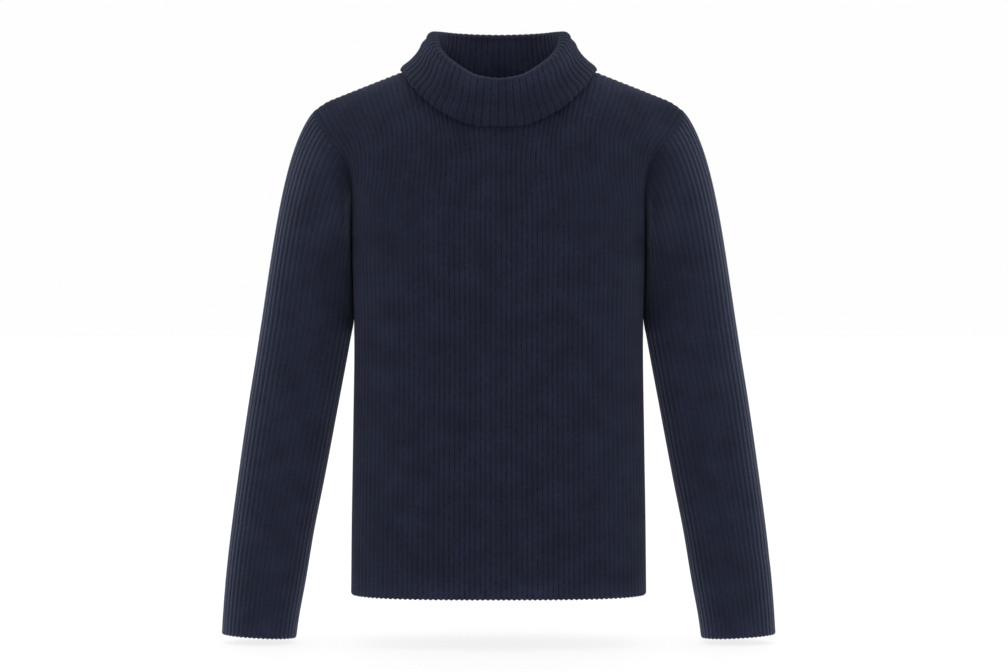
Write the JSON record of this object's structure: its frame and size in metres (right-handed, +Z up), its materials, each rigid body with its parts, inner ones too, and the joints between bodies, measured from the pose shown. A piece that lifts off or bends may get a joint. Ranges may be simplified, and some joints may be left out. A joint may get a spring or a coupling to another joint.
{
  "type": "turtleneck sweater",
  "caption": "Long-sleeved turtleneck sweater in rib knit, hollow and filled out, with set-in sleeves and the collar folded over",
  "frame": {"origin": "on the shoulder line at the middle of the neck, in the plane of the side and shoulder seams, where the wearer's shoulders hold the garment", "axes": "+Z up along the garment, -Y towards its front, +X towards its left sleeve"},
  "size_m": [0.6862, 0.1862, 0.7552],
  "materials": {
    "body_knit": "matte navy 2 x 2 rib knit in a fine, slightly hairy yarn",
    "sleeve_knit": "matte navy 2 x 2 rib knit in a fine, slightly hairy yarn",
    "collar_knit": "matte navy 2 x 2 rib knit in a fine, slightly hairy yarn, one tube folded over once"
  },
  "bodies": {
    "root": {"front": "body_knit", "back": "body_knit", "sleeve_right": "sleeve_knit", "sleeve_left": "sleeve_knit", "collar": "collar_knit"}
  },
  "joints": []
}
